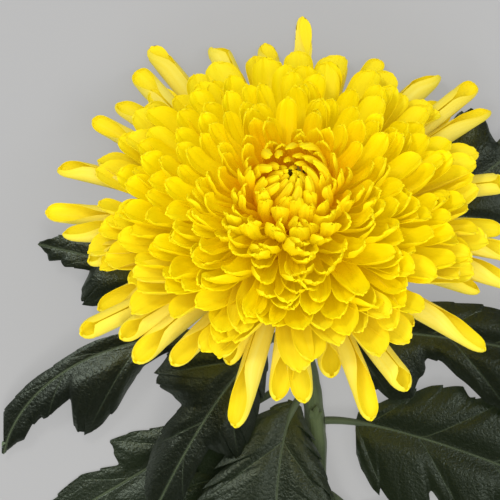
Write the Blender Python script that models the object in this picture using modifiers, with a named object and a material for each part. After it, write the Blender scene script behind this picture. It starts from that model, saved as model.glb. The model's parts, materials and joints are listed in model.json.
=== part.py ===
"""One cut chrysanthemum lying on a flat surface: a large double bloom, its green involucre, a leafy stem.

Metres, +Z up. The stem lies along -Y with its neck curved up, so that the bloom faces up and towards +Y
and rests on the edge of its lowest petals. Everything is set out round the bloom's base centre, which
stands BLOOM_HEIGHT above the surface, and the whole is then moved so that the origin lies on the surface
under the middle of the plant.
"""

import math
import random
from collections import namedtuple

import bmesh
import bpy
from mathutils import Matrix, Vector

GOLDEN_ANGLE = math.radians(137.508)
MM = 0.001
GAP = 0.35  # between neighbouring pieces, in millimetres

# The bloom, in millimetres along and across its own axis, from its base centre
BLOOM_LEAN = math.radians(55)  # rise of the bloom's axis above the surface
BLOOM_HEIGHT = 34.0
DOME_RISE = 27.0  # top of the dome of petal tips
DOME_REACH = 58.0  # radius at which the dome meets the base plane
BODY_REACH = 55.0
FAR_SIDE_REACH = 0.07  # share by which the petals on the low side of the leaning bloom reach further
WHORL_COUNT, BODY_COUNT = 30, 128
QUILLS = (  # each one's angle about the axis in degrees, and its reach
    (0, 56), (15, 59), (32, 67), (41, 69), (52, 66), (68, 62), (74, 57), (87, 67), (95, 61),
    (108, 63), (124, 68), (133, 65), (146, 64), (164, 64), (177, 65), (185, 60), (191, 54),
    (204, 56), (213, 63), (219, 57), (225, 57), (236, 54), (252, 47), (260, 63), (267, 54),
    (273, 55), (285, 47), (290, 62), (299, 58), (311, 45), (318, 63), (336, 53), (343, 62), (352, 60),
)
PETAL_SEED = 11
PETAL_RIB = 1.2  # thickness of a petal at its midrib
CORE_OUTLINE = ((0, 15), (10, 15.5), (22, 13), (33, 8), (40, 1.5), (30, -5), (10.5, -12), (0, -12))

# The involucre, along the bloom's axis; a row of bracts is its count, foot radius, tip radius and slope
CUP_TOP, CUP_FOOT = -12.4, -22.0
BRACT_ROWS = ((12, 5.0, 11.5, 60), (10, 4.2, 9.6, 70))
BRACT_SEED = 5

# The stem
STEM_RADIUS = 2.7
STEM_SIDES = 8
STEM_STEPS = 4  # points between two knots
STEM_KNOTS = (
    (1.0, -20.5, 8.2),
    (4.0, -34.0, 3.6),
    (7.0, -50.0, 0.0),
    (8.0, -72.0, 0.0),
    (6.0, -105.0, 0.0),
    (2.0, -145.0, 0.0),
    (-2.0, -190.0, 0.0),
)

# The leaves: y where each leaves the stem, the point its midrib bends towards, its tip, the widths of its
# left and right halves, and the droop of its edges as a share of their width
BLADE_THICKNESS = 0.9
PETIOLE_HALF_WIDTH = 1.1
PETIOLE_SHARE = 0.2
LOBE_SWEEP = 0.65  # how far the lobes point forwards
LEAF_OUTLINE = (  # share of the blade's length, and share of its half width
    (0.00, 0.16),
    (0.05, 0.50),
    (0.09, 0.46),
    (0.15, 0.76),
    (0.20, 0.72),
    (0.25, 0.64),
    (0.30, 0.34),
    (0.34, 0.62),
    (0.38, 0.60),
    (0.45, 1.00),
    (0.50, 0.92),
    (0.55, 0.72),
    (0.60, 0.33),
    (0.65, 0.52),
    (0.69, 0.47),
    (0.75, 0.55),
    (0.80, 0.42),
    (0.86, 0.40),
    (0.92, 0.22),
    (1.00, 0.06),
)
Leaf = namedtuple("Leaf", "y via tip left right droop")
LEAVES = (
    Leaf(-22, (-32, -13, 11), (-69, -5, 6), 16, 10, 0.15),
    Leaf(-31, (-34, -25, 14), (-79, -63, 2.5), 17, 11, 0.2),
    Leaf(-27, (-16, -33, 26), (-39, -84, 10), 14, 19, 0.3),
    Leaf(-46, (0, -62, 19), (-9, -109, 8), 20, 16, 0.1),
    Leaf(-54, (30, -52, 6), (82, -76, 1), 23, 24, 0.05),
    Leaf(-29, (36, -26, 15), (85, -39, 8), 11, 21, 0.15),
    Leaf(-21, (36, 0, 10), (77, 32, 2), 18, 18, 0.1),
    Leaf(-41, (-26, -60, 0), (-73, -87, 0), 17, 15, 0.0),
    Leaf(-60, (-18, -68, 8), (-34, -103, 2.5), 15, 13, 0.0),
    Leaf(-74, (26, -84, 3), (54, -121, 0.5), 17, 15, 0.05),
)


def clear_scene():
    for old in list(bpy.data.objects):
        bpy.data.objects.remove(old)


def new_collection(name):
    collection = bpy.data.collections.new(name)
    bpy.context.scene.collection.children.link(collection)
    return collection


def plain_material(name, colour, roughness):
    material = bpy.data.materials.new(name)
    material.use_nodes = True
    shader = material.node_tree.nodes["Principled BSDF"]
    shader.inputs["Base Color"].default_value = (*colour, 1.0)
    shader.inputs["Roughness"].default_value = roughness
    shader.inputs["Metallic"].default_value = 0.0
    return material


def object_from(bm, name, collection, material):
    """A mesh object in metres from a bmesh drawn in millimetres."""
    bmesh.ops.scale(bm, verts=bm.verts, vec=(MM, MM, MM))
    mesh = bpy.data.meshes.new(name)
    bm.to_mesh(mesh)
    bm.free()
    mesh.materials.append(material)
    made = bpy.data.objects.new(name, mesh)
    collection.objects.link(made)
    return made


def loft(bm, sections):
    """Joins rings of points, alike in number, into one closed body. Each side is split the same way, so
    the two faces of a thin blade keep to themselves."""
    rings = [[bm.verts.new(point) for point in section] for section in sections]
    sides = len(rings[0])
    for ring, following in zip(rings, rings[1:]):
        for i in range(sides):
            j = (i + 1) % sides
            if i < sides / 2:
                bm.faces.new((ring[i], ring[j], following[j]))
                bm.faces.new((ring[i], following[j], following[i]))
            else:
                bm.faces.new((ring[i], ring[j], following[i]))
                bm.faces.new((ring[j], following[j], following[i]))
    for ring in (rings[0], rings[-1]):
        for i in range(1, sides // 2):
            bm.faces.new((ring[i - 1], ring[i], ring[-i]))
            bm.faces.new((ring[i], ring[-i - 1], ring[-i]))
    bmesh.ops.recalc_face_normals(bm, faces=bm.faces)


def bezier(points, share):
    """Point and tangent of a cubic Bezier curve."""
    a, b, c, d = points
    rest = 1.0 - share
    at = a * rest**3 + 3 * b * share * rest**2 + 3 * c * share**2 * rest + d * share**3
    along = (b - a) * rest**2 + 2 * (c - b) * share * rest + (d - c) * share**2
    return at, along.normalized()


def dome(radius):
    """Height of the dome of petal tips at a distance from the bloom's axis."""
    inside = max(0.0, 1.0 - (radius / DOME_REACH) ** 2)
    return DOME_RISE * inside**0.8


def slope(degrees):
    """A unit direction in a petal's own plane: outwards from the axis, and up along it."""
    angle = math.radians(degrees)
    return Vector((math.cos(angle), math.sin(angle)))


def whorl_petals(draw):
    """The small petals of the heart, which bend in over the axis and turn about it."""
    for i in range(WHORL_COUNT):
        share = (i + 0.5) / WHORL_COUNT
        tip_radius = 0.6 + 6.0 * share
        root = Vector((1.0 + 5.0 * math.sqrt(share), 4.0))
        tip = Vector((tip_radius, 23.5 + 3.0 * share + draw.uniform(-0.8, 0.8)))
        yield {
            "azimuth": i * GOLDEN_ANGLE,
            "curve": (root, root + 9.0 * slope(62), tip - (3.0 + 6.0 * share) * slope(158), tip),
            "half_width": 1.1 + 0.9 * share,
            "cup": 0.45,
            "roll": math.radians(draw.uniform(-12, 12)),
            "swirl": math.radians(38),
        }


def body_petals(draw):
    """The broad petals of the dome, from upright round the heart to level at the rim."""
    for i in range(BODY_COUNT):
        share = (i + 0.5) / BODY_COUNT
        azimuth = i * GOLDEN_ANGLE + draw.uniform(-0.08, 0.08)
        radius = 12.5 + (BODY_REACH - 12.5) * share**0.62 + draw.uniform(-1.5, 1.5)
        radius *= 1.0 + FAR_SIDE_REACH * share * math.sin(azimuth)
        root = Vector((4.0 + 6.0 * share, 2.0 - 11.0 * share))
        tip = Vector((radius, dome(radius) + draw.uniform(-1.2, 1.2)))
        reach = (tip - root).length / 3
        rise = 100.0 - 88.0 * share**0.7 + draw.uniform(-8, 8)
        yield {
            "azimuth": azimuth,
            "curve": (root, root + reach * slope(80 - 50 * share), tip - reach * slope(rise), tip),
            "half_width": 2.7 + 2.0 * share**0.8 + draw.uniform(-0.3, 0.3),
            "cup": 0.42 - 0.12 * share,
            "roll": math.radians(draw.uniform(-14, 14)),
            "swirl": math.radians(draw.uniform(-6, 6)),
        }


def quill_petals(draw):
    """The long narrow petals that stand out under the rim, each at its own angle and reach."""
    for degrees, radius in QUILLS:
        root = Vector((9.5, -10.5))
        tip = Vector((radius, -2.5 + draw.uniform(-2.5, 2.5)))
        reach = (tip - root).length / 3
        yield {
            "azimuth": math.radians(degrees),
            "curve": (root, root + reach * slope(24), tip - reach * slope(draw.uniform(-14, 4)), tip),
            "half_width": 2.8 + draw.uniform(-0.3, 0.4),
            "cup": 0.6,
            "roll": math.radians(draw.uniform(-20, 20)),
            "swirl": math.radians(draw.uniform(-3, 3)),
        }


def height_over_surface(point):
    """Height of a point given in the bloom's own frame, once the bloom leans in its place."""
    return BLOOM_HEIGHT - point.y * math.cos(BLOOM_LEAN) + point.z * math.sin(BLOOM_LEAN)


def petal_sections(petal, stations=(0.0, 0.55, 0.88, 1.0), widths=(0.5, 0.95, 0.95, 0.5)):
    """Four-cornered sections of a cupped petal: left edge, upper rib, right edge, lower rib. A petal that
    would dip under the surface is pushed up by it."""
    sections = []
    for share, width in zip(stations, widths):
        at, along = bezier(petal["curve"], share)
        turn = petal["azimuth"] + petal["swirl"] * share**2
        outwards = Vector((math.cos(turn), math.sin(turn), 0.0))
        up = Vector((0.0, 0.0, 1.0))
        centre = outwards * at.x + up * at.y
        forward = outwards * along.x + up * along.y
        face = up * along.x - outwards * along.y
        roll = Matrix.Rotation(petal["roll"], 3, forward)
        face = roll @ face
        side = forward.cross(face)
        half = petal["half_width"] * width
        lift = petal["cup"] * half
        corners = [
            centre - side * half + face * lift,
            centre + face * PETAL_RIB * 0.3,
            centre + side * half + face * lift,
            centre - face * PETAL_RIB * 0.7,
        ]
        lowest = min(height_over_surface(corner) for corner in corners)
        if lowest < 0.0:
            corners = [corner - up * lowest / math.sin(BLOOM_LEAN) for corner in corners]
        sections.append(corners)
    return sections


def turned_body(name, outline, steps, collection, material):
    """A solid turned about Z from its outline, which runs down its outer side from top to bottom."""
    bm = bmesh.new()
    corners = [bm.verts.new((radius, 0.0, height)) for radius, height in outline]
    for first, second in zip(corners, corners[1:]):
        bm.edges.new((first, second))
    body = object_from(bm, name, collection, material)
    turned = body.modifiers.new("turn", "SCREW")
    turned.steps = turned.render_steps = steps
    turned.use_merge_vertices = True
    turned.merge_threshold = 0.00005
    apply_modifiers(body)
    return body


def apply_modifiers(target):
    """Replaces an object's mesh by what its modifiers make of it."""
    graph = bpy.context.evaluated_depsgraph_get()
    made = bpy.data.meshes.new_from_object(target.evaluated_get(graph))
    target.modifiers.clear()
    target.data = made


def join(body, loose):
    """Unites a body with all that a collection holds, and removes the loose pieces."""
    union = body.modifiers.new("join", "BOOLEAN")
    union.operation = "UNION"
    union.solver = "MANIFOLD"
    union.operand_type = "COLLECTION"
    union.collection = loose
    apply_modifiers(body)
    for piece in list(loose.objects):
        bpy.data.objects.remove(piece)
    bpy.data.collections.remove(loose)


def make_bloom(collection, material):
    """All petals and the heart they grow from, joined into one body and set in its leaning place."""
    core = turned_body("bloom", CORE_OUTLINE, 14, collection, material)
    loose = new_collection("loose petals")
    draw = random.Random(PETAL_SEED)
    petals = [*whorl_petals(draw), *body_petals(draw), *quill_petals(draw)]
    for number, petal in enumerate(petals):
        bm = bmesh.new()
        loft(bm, petal_sections(petal))
        object_from(bm, f"petal_{number}", loose, material)
    join(core, loose)
    return core


def make_involucre(collection, material):
    """The green cup under the bloom, with its overlapping bracts."""
    shoulder, waist = CUP_TOP - 2.5, CUP_TOP - 6.5
    outline = ((0, CUP_TOP), (9.2, CUP_TOP), (9.8, shoulder), (7.6, waist), (3.4, CUP_FOOT), (0, CUP_FOOT))
    cup = turned_body("involucre", outline, 12, collection, material)
    loose = new_collection("loose bracts")
    draw = random.Random(BRACT_SEED)
    for row, (count, foot, top, spread) in enumerate(BRACT_ROWS):
        for i in range(count):
            root = Vector((foot - 1.0, CUP_FOOT + 1.5 + 2.0 * row))
            tip = Vector((top, CUP_TOP - 1.2 - 2.2 * row + draw.uniform(-0.4, 0.4)))
            bract = {
                "azimuth": math.tau * (i + 0.5 * row) / count,
                "curve": (root, root + 3.0 * slope(20), tip - 3.0 * slope(spread), tip),
                "half_width": 2.0,
                "cup": 0.25,
                "roll": 0.0,
                "swirl": 0.0,
            }
            bm = bmesh.new()
            loft(bm, petal_sections(bract, (0.0, 0.6, 1.0), (0.8, 1.0, 0.3)))
            object_from(bm, f"bract_{row}_{i}", loose, material)
    join(cup, loose)
    return cup


def catmull(a, b, c, d, share):
    """Point between b and c on a smooth curve through a, b, c and d."""
    return 0.5 * (
        2 * b + (c - a) * share + (2 * a - 5 * b + 4 * c - d) * share**2 + (3 * b - a - 3 * c + d) * share**3
    )


def stem_radius(y):
    """The stem thickens from its neck to its foot."""
    return STEM_RADIUS * (0.86 + 0.14 * min(1.0, max(0.0, -y / 100.0)))


def stem_route():
    """Centre line of the stem from the involucre to the cut end, lying on the surface once it gets there."""
    axis = Vector((0.0, math.cos(BLOOM_LEAN), math.sin(BLOOM_LEAN)))
    top = Vector((0.0, 0.0, BLOOM_HEIGHT)) + axis * (CUP_FOOT - GAP)
    knots = [top + axis * 6.0, top - axis * 2.5, *(Vector(knot) for knot in STEM_KNOTS)]
    knots.append(knots[-1] + Vector((-4.0, -45.0, 0.0)))
    route = [top, knots[1]]
    for around in zip(knots, knots[1:], knots[2:], knots[3:]):
        route += [catmull(*around, step / STEM_STEPS) for step in range(1, STEM_STEPS + 1)]
    for at in route:
        at.z = max(at.z, stem_radius(at.y) * math.cos(math.pi / STEM_SIDES))
    return route


def make_stem(route, collection, material):
    """The stalk: an eight-sided tube turned so that one flat side lies on the surface."""
    curve = bpy.data.curves.new("stem", "CURVE")
    curve.dimensions = "3D"
    curve.twist_mode = "Z_UP"
    curve.bevel_depth = STEM_RADIUS * MM
    curve.bevel_resolution = STEM_SIDES // 2 - 2
    curve.use_fill_caps = True
    line = curve.splines.new("POLY")
    line.points.add(len(route) - 1)
    for knot, at in zip(line.points, route):
        knot.co = (*(at * MM), 1.0)
        knot.radius = stem_radius(at.y) / STEM_RADIUS
        knot.tilt = math.pi / STEM_SIDES
    curve.materials.append(material)
    stem = bpy.data.objects.new("stem", curve)
    collection.objects.link(stem)
    return stem


def leaf_midrib(leaf, route):
    """The leaf's midrib as a Bezier curve, from the side of the stem through its middle to its tip."""
    above, below = next(pair for pair in zip(route, route[1:]) if pair[1].y <= leaf.y)
    centre = above.lerp(below, (above.y - leaf.y) / (above.y - below.y))
    via, tip = Vector(leaf.via), Vector(leaf.tip)
    along_stem = (below - above).normalized()
    heading = (via - centre).normalized()
    away = (heading - along_stem * heading.dot(along_stem)).normalized()
    slant = math.sqrt(1.0 - heading.dot(away) ** 2)
    foot = centre + away * (stem_radius(leaf.y) + GAP + 1.3 * PETIOLE_HALF_WIDTH * slant)
    return foot, foot.lerp(via, 0.67), tip.lerp(via, 0.5), tip


def leaf_sections(leaf, route):
    """Six-cornered sections of a leaf along its midrib: a stout petiole, then the lobed blade. What would
    dip under the surface lies on it."""
    curve = leaf_midrib(leaf, route)
    stalk = [(PETIOLE_SHARE * along, 0.0) for along in (0.0, 0.5, 0.92)]
    blade = [(PETIOLE_SHARE + (1.0 - PETIOLE_SHARE) * along, width) for along, width in LEAF_OUTLINE]
    sections = []
    for share, width in stalk + blade:
        at, forward = bezier(curve, share)
        side = forward.cross(Vector((0.0, 0.0, 1.0))).normalized()
        face = side.cross(forward)
        thick = BLADE_THICKNESS if width else 1.3 * PETIOLE_HALF_WIDTH
        rib = PETIOLE_HALF_WIDTH * (1.0 - 0.4 * share)
        edges = []
        for sign, half in ((-1, leaf.left * width), (1, leaf.right * width)):
            half = max(half, PETIOLE_HALF_WIDTH * (1.0 - 0.6 * share))
            spread = half - PETIOLE_HALF_WIDTH if width else 0.0
            edge = at + side * sign * half + forward * spread * LOBE_SWEEP - face * spread * leaf.droop
            edge.z = max(edge.z, thick / 2)
            edges.append(edge)
        crest, keel = at + face * rib * 0.5, at - face * rib
        keel.z = max(keel.z, 0.0)
        crest.z = max(crest.z, keel.z + rib)
        up = Vector((0.0, 0.0, thick / 2))
        sections.append([edges[0] + up, crest, edges[1] + up, edges[1] - up, keel, edges[0] - up])
    return sections


def make_leaf(number, leaf, route, collection, material):
    bm = bmesh.new()
    loft(bm, leaf_sections(leaf, route))
    return object_from(bm, f"leaf_{number}", collection, material)


def centre_on_origin(pieces):
    """Moves the plant so that the middle of its underside is the origin."""
    graph = bpy.context.evaluated_depsgraph_get()
    corners = []
    for piece in pieces:
        evaluated = piece.evaluated_get(graph)
        mesh = evaluated.to_mesh()
        corners += [evaluated.matrix_world @ vertex.co for vertex in mesh.vertices]
        evaluated.to_mesh_clear()
    low = Vector(min(corner[i] for corner in corners) for i in range(3))
    high = Vector(max(corner[i] for corner in corners) for i in range(3))
    for piece in pieces:
        piece.location -= Vector(((low.x + high.x) / 2, (low.y + high.y) / 2, low.z))


def main():
    clear_scene()
    plant = new_collection("chrysanthemum")
    yellow = plain_material("petal yellow", (0.93, 0.70, 0.01), 0.55)
    green = plain_material("stem green", (0.10, 0.16, 0.05), 0.6)
    dark_green = plain_material("leaf green", (0.035, 0.05, 0.025), 0.55)
    bloom = make_bloom(plant, yellow)
    involucre = make_involucre(plant, green)
    for piece in (bloom, involucre):
        piece.rotation_euler = (BLOOM_LEAN - math.pi / 2, 0.0, 0.0)
        piece.location = (0.0, 0.0, BLOOM_HEIGHT * MM)
    route = stem_route()
    make_stem(route, plant, green)
    for number, leaf in enumerate(LEAVES, start=1):
        make_leaf(number, leaf, route, plant, dark_green)
    centre_on_origin(list(plant.objects))


main()
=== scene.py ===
# Chrysanthemum: one cut flower lying on a pale table, seen from straight above.
# Places are in millimetres round the bloom's base centre until setPlaces moves them to the model's frame.
import json
import math
import random
from collections import namedtuple

import bpy
import numpy as np
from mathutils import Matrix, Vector


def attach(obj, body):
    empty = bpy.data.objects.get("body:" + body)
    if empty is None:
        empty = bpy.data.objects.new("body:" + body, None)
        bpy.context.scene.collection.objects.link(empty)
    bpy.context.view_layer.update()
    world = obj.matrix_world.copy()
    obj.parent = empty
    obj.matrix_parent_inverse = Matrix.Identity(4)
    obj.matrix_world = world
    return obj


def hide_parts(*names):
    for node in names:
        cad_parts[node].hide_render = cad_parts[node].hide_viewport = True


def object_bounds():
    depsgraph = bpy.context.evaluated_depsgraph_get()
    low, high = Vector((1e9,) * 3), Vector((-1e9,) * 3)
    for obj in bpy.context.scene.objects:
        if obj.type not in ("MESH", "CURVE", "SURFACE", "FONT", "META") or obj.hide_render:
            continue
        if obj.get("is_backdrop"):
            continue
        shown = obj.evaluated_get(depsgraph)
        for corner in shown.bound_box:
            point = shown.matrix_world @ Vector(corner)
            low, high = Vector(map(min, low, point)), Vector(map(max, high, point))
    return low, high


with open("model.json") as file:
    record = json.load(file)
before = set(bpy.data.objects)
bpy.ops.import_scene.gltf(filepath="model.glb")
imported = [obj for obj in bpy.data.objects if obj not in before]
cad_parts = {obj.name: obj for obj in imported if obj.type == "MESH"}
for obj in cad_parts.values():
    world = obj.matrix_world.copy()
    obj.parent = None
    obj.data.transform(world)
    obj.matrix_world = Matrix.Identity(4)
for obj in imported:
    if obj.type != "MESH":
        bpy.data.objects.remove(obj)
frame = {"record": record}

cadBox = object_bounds()
mm = 0.001
goldenAngle = math.radians(137.508)

# The record's resting face is under this point of the big flat leaf, which tells how far the plant moved
restingFace = Vector((-42.0, -63.0, 0.0))
plantShift = Vector(frame["record"]["mounts"][0]["pos_m"]) / mm - restingFace

bloomPlace = {
    "lean": math.radians(55),  # rise of the bloom's axis above the table
    "height": 34.0,  # of the base centre
    "domeRise": 27.0,
    "domeReach": 58.0,
    "bodyReach": 55.0,
    "farSideReach": 0.07,  # how much further the petals above the axis reach
    "highest": 70.4,  # no petal tip rises past this
    "seed": 11,
    "lookSeed": 23,  # what only the looks draw, such as notches and tones
}

petalCounts = {
    "whorl": 30, "collar": 22, "body": 128, "between": 165,
    "turnedUp": 3,  # every third of those between is turned to the side that faces up
}

quills = (  # angle about the axis in degrees, and reach
    (0, 56), (15, 59), (32, 67), (41, 69), (52, 66), (68, 62), (74, 57), (87, 67), (95, 61),
    (108, 63), (123, 71), (131, 67), (138, 62), (145, 65), (163, 65), (177, 65), (185, 60), (191, 54),
    (204, 56), (213, 63), (219, 57), (225, 57), (236, 54), (252, 47), (260, 63), (267, 54),
    (273, 55), (285, 47), (290, 62), (299, 58), (311, 45), (318, 63), (336, 53), (343, 62), (352, 60),
)

# How a flat sheet is bent into each kind of petal: wraps are half angles in degrees, hood, ridge, wave and
# notch are millimetres, and the rest are shares
petalShapes = {
    "whorl": {
        "rootWidth": 0.6, "wrapRoot": 78, "wrapTip": 62, "opens": (0.3, 0.9), "hood": 0.5, "ridge": 0.12,
        "wave": 0.15, "notch": 0.3, "roundness": 1.6, "blunt": 0.3, "spread": 0.95, "taper": 0.3,
        "tapersFrom": 0.6, "loose": 1.0, "bow": 1.0,
    },
    "body": {
        "rootWidth": 0.42, "wrapRoot": 88, "wrapTip": 58, "opens": (0.25, 0.9), "hood": 0.9, "ridge": 0.2,
        "wave": 0.3, "notch": 0.7, "roundness": 1.6, "blunt": 0.2, "spread": 1.0, "taper": 0.0,
        "tapersFrom": 0.7, "loose": 1.0, "bow": 1.0,
    },
    "quill": {
        "rootWidth": 0.66, "wrapRoot": 176, "wrapTip": 104, "opens": (0.78, 0.96), "hood": 0.4,
        "ridge": 0.1, "wave": 0.1, "notch": 0.1, "roundness": 1.6, "blunt": 0.8, "spread": 0.9,
        "taper": 0.0, "tapersFrom": 0.84, "loose": 1.6, "bow": 0.2,
    },
    "bract": {
        "rootWidth": 0.8, "wrapRoot": 34, "wrapTip": 24, "opens": (0.3, 0.9), "hood": -0.2, "ridge": 0.1,
        "wave": 0.1, "notch": 0.0, "roundness": 0.9, "blunt": 0.2, "spread": 1.0, "taper": 0.6,
        "tapersFrom": 0.4, "loose": 0.0, "bow": 1.0,
    },
}

petalSheet = {
    "columns": 10,
    "rows": 22,
    "thickness": 0.42,
    "thinEdge": 0.75,  # share of the thickness that is lost at a side edge
    "lowest": 0.5,
    "nearTip": 1.6,  # above one, the rows lie closer near the tip
    "looseOpening": 0.1,  # how much earlier a loose petal opens
    "looseTip": 14,  # by how many degrees its tip is flatter
    "bowLift": 0.7,  # share of a rounded end's closing that lifts it
    "notches": 2,
    "notchWidth": 0.22,
}


# Small helpers for modelling

def selectOnly(piece):
    bpy.ops.object.select_all(action="DESELECT")
    piece.select_set(True)
    bpy.context.view_layer.objects.active = piece


def useModifier(piece, kind, **values):
    selectOnly(piece)
    modifier = piece.modifiers.new(kind.lower(), kind)
    for name, value in values.items():
        setattr(modifier, name, value)
    bpy.ops.object.modifier_apply(modifier=modifier.name)


def smoothPiece(piece, degrees=40):
    selectOnly(piece)
    bpy.ops.object.shade_smooth_by_angle(angle=math.radians(degrees))


def editFace(piece, reach, slot=0):
    # opens edit mode with only the face that reaches farthest selected, and gives it a material's slot
    selectOnly(piece)
    bpy.ops.object.mode_set(mode="EDIT")
    bpy.ops.mesh.select_mode(type="FACE")
    bpy.ops.mesh.select_all(action="DESELECT")
    bpy.ops.object.mode_set(mode="OBJECT")
    end = max(piece.data.polygons, key=lambda face: reach(face.center))
    end.select = True
    end.material_index = slot
    bpy.ops.object.mode_set(mode="EDIT")


def joinPieces(pieces, name):
    selectOnly(pieces[0])
    for piece in pieces:
        piece.select_set(True)
    bpy.ops.object.join()
    pieces[0].name = name
    pieces[0].data.name = name
    return pieces[0]


def readPlaces(piece):
    places = np.zeros(len(piece.data.vertices) * 3)
    piece.data.vertices.foreach_get("co", places)
    return places.reshape(-1, 3)


def newSheet(name, columns, rows):
    # a flat grid with its UV map; across runs from -1 to 1 and along from 0 to 1
    bpy.ops.mesh.primitive_grid_add(x_subdivisions=columns, y_subdivisions=rows, size=2)
    sheet = bpy.context.object
    sheet.name = name
    places = readPlaces(sheet)
    return sheet, places[:, 0], (places[:, 1] + 1) / 2


def copyOf(piece, name):
    made = piece.copy()
    made.data = piece.data.copy()
    made.name = name
    bpy.context.scene.collection.objects.link(made)
    return made


def setPlaces(piece, places, room=0.0):
    # from millimetres round the bloom's base centre, kept inside the model's box with room for thickness
    low, high = (np.array(corner) for corner in cadBox)
    room = np.array((room, room, 0.0)) * mm
    moved = np.clip((places + np.array(plantShift)) * mm, low + room, high - room)
    piece.data.vertices.foreach_set("co", moved.ravel())
    piece.data.update()


def setTone(piece, name, values):
    # one number for each point, which the materials read
    layer = piece.data.attributes.new(name, "FLOAT", "POINT")
    values = np.broadcast_to(values, len(piece.data.vertices)).astype(np.float32)
    layer.data.foreach_set("value", values)


def setMaterials(piece, *materials):
    piece.data.materials.clear()
    for material in materials:
        piece.data.materials.append(material)


def finishPiece(piece, node):
    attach(piece, "root")
    if node:
        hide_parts(node)


def blendTo(low, high, share):
    return low + (high - low) * share


def smoothStep(value, start, end):
    share = np.clip((value - start) / (end - start), 0.0, 1.0)
    return share * share * (3 - 2 * share)


def curveAt(points, share):
    # places and directions on a cubic Bezier curve, for an array of shares
    a, b, c, d = (np.array(point, float) for point in points)
    share = np.asarray(share, float)[:, None]
    rest = 1 - share
    at = a * rest**3 + 3 * b * share * rest**2 + 3 * c * share**2 * rest + d * share**3
    along = (b - a) * rest**2 + 2 * (c - b) * share * rest + (d - c) * share**2
    return at, along / np.linalg.norm(along, axis=1, keepdims=True)


# The bloom's petals. Whorl and body follow the model's own rules and draws, and the quills nearly do.

def dome(radius):
    inside = max(0.0, 1.0 - (radius / bloomPlace["domeReach"]) ** 2)
    return bloomPlace["domeRise"] * inside**0.8


def slopeTo(degrees):
    return Vector((math.cos(math.radians(degrees)), math.sin(math.radians(degrees))))


def newPetal(kind, share, azimuth, root, tip, slopes, halfWidth, roll, swirl, reaches=None):
    # its curve leaves the root and meets the tip at two slopes, each over a third of the way or as told
    first, last = reaches or [(tip - root).length / 3] * 2
    return {
        "kind": kind, "share": share, "azimuth": azimuth, "halfWidth": halfWidth,
        "curve": (root, root + first * slopeTo(slopes[0]), tip - last * slopeTo(slopes[1]), tip),
        "roll": math.radians(roll), "swirl": math.radians(swirl),
    }


def whorlPetals(draw):
    for i in range(petalCounts["whorl"]):
        share = (i + 0.5) / petalCounts["whorl"]
        root = Vector((1.0 + 5.0 * math.sqrt(share), 4.0))
        tip = Vector((0.6 + 6.0 * share, 23.5 + 3.0 * share + draw.uniform(-0.8, 0.8)))
        yield newPetal(
            "whorl", share, i * goldenAngle, root, tip, (62, 158),
            1.1 + 0.9 * share, draw.uniform(-12, 12), 38, (9.0, 3.0 + 6.0 * share))


def bodyPetals(draw):
    for i in range(petalCounts["body"]):
        share = (i + 0.5) / petalCounts["body"]
        azimuth = i * goldenAngle + draw.uniform(-0.08, 0.08)
        radius = 12.5 + (bloomPlace["bodyReach"] - 12.5) * share**0.62 + draw.uniform(-1.5, 1.5)
        radius *= 1.0 + bloomPlace["farSideReach"] * share * math.sin(azimuth)
        root = Vector((4.0 + 6.0 * share, 2.0 - 11.0 * share))
        tip = Vector((radius, dome(radius) + draw.uniform(-1.2, 1.2)))
        rise = 100.0 - 88.0 * share**0.7 + draw.uniform(-8, 8)
        yield newPetal(
            "body", share, azimuth, root, tip, (80 - 50 * share, rise),
            2.7 + 2.0 * share**0.8 + draw.uniform(-0.3, 0.3), draw.uniform(-14, 14), draw.uniform(-6, 6))


def collarPetals(draw):
    # close round the whorl, bent in over it
    for i in range(petalCounts["collar"]):
        share = (i + 0.5) / petalCounts["collar"]
        radius = 8.2 + 4.5 * share + draw.uniform(-0.5, 0.5)
        tip = Vector((radius, dome(radius) - 1.0 + draw.uniform(-1.5, 1.0)))
        yield newPetal(
            "body", 0.0, i * goldenAngle + 1.0, Vector((5.5, 3.0)), tip, (62, 112 - 14 * share),
            2.1 + 0.5 * share + draw.uniform(-0.2, 0.2), draw.uniform(-20, 20), draw.uniform(0, 16))


def betweenPetals(draw):
    # fills the gaps that the model's own petals leave, a little lower than they are
    for i in range(petalCounts["between"]):
        share = (i + 0.5) / petalCounts["between"]
        azimuth = (i + 0.5) * goldenAngle + draw.uniform(-0.2, 0.2)
        if i % petalCounts["turnedUp"] == 0 and math.sin(azimuth) > 0:
            azimuth = -azimuth  # more of them on the side that faces up, where the rows spread
        radius = 12.0 + (bloomPlace["bodyReach"] - 13.0) * share**0.85 + draw.uniform(-2.0, 1.0)
        radius *= 1.0 + bloomPlace["farSideReach"] * share * math.sin(azimuth)
        root = Vector((4.0 + 6.0 * share, 2.0 - 11.0 * share))
        tip = Vector((radius, dome(radius) - 0.8 + draw.uniform(-2.0, 0.8)))
        rise = 104.0 - 90.0 * share**0.7 + draw.uniform(-14, 14)
        yield newPetal(
            "body", share, azimuth, root, tip, (80 - 50 * share, rise),
            2.4 + 1.7 * share**0.8 + draw.uniform(-0.4, 0.4), draw.uniform(-28, 28), draw.uniform(-10, 10))


def quillPetals(draw):
    for degrees, radius in quills:
        tip = Vector((radius, -2.5 + draw.uniform(-2.5, 2.5)))
        yield newPetal(
            "quill", 1.0, math.radians(degrees), Vector((9.5, -10.5)), tip, (24, draw.uniform(-14, 4)),
            2.8 + draw.uniform(-0.3, 0.4), draw.uniform(-40, 40), draw.uniform(-3, 3))


def leanBloom(places):
    # from the bloom's own upright frame to where it leans over the table
    lean = bloomPlace["lean"]
    x, y, z = places.T
    return np.stack((
        x,
        y * math.sin(lean) + z * math.cos(lean),
        bloomPlace["height"] - y * math.cos(lean) + z * math.sin(lean),
    ), axis=1)


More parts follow.
